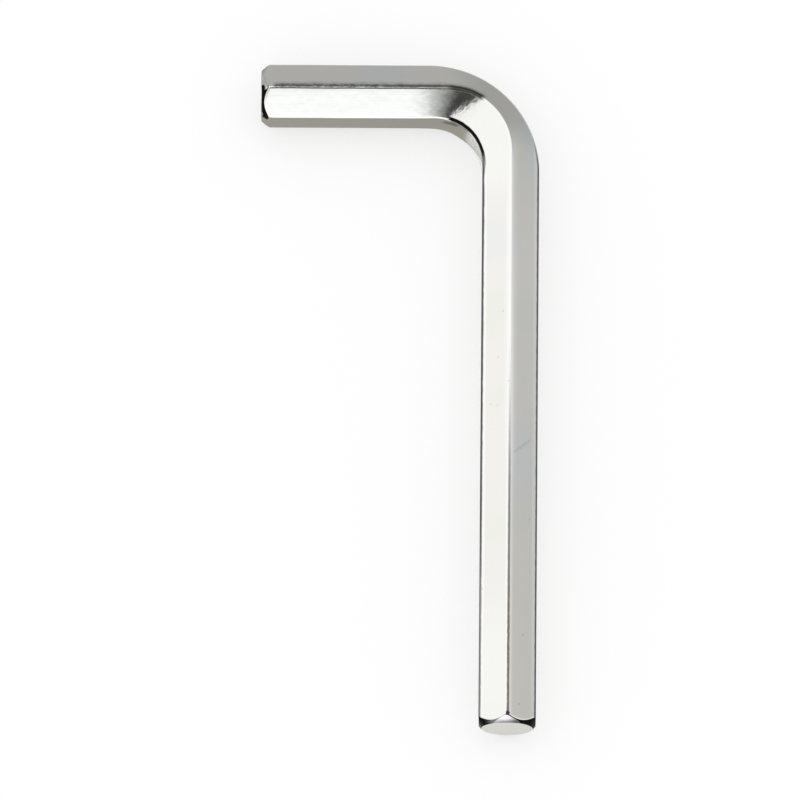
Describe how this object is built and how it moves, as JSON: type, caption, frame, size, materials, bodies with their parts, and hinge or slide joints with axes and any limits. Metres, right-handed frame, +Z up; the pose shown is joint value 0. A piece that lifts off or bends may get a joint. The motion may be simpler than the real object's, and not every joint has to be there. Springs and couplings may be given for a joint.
{
  "type": "hex key",
  "caption": "L-shaped hexagonal steel key, bent once to a right angle, with chamfered ends, for turning socket screws.",
  "frame": {"origin": "middle of the footprint, at the height of the table that the key lies on", "axes": "+X to the side away from the short arm's end, +Y along the long arm towards the bend, +Z up, square to both arms"},
  "size_m": [0.0392, 0.096, 0.0091],
  "materials": {
    "plated_steel": "bright plating over drawn steel bar, slightly rippled, with small scratches and worn edges"
  },
  "bodies": {
    "root": {"hex_key": "plated_steel"}
  },
  "joints": []
}
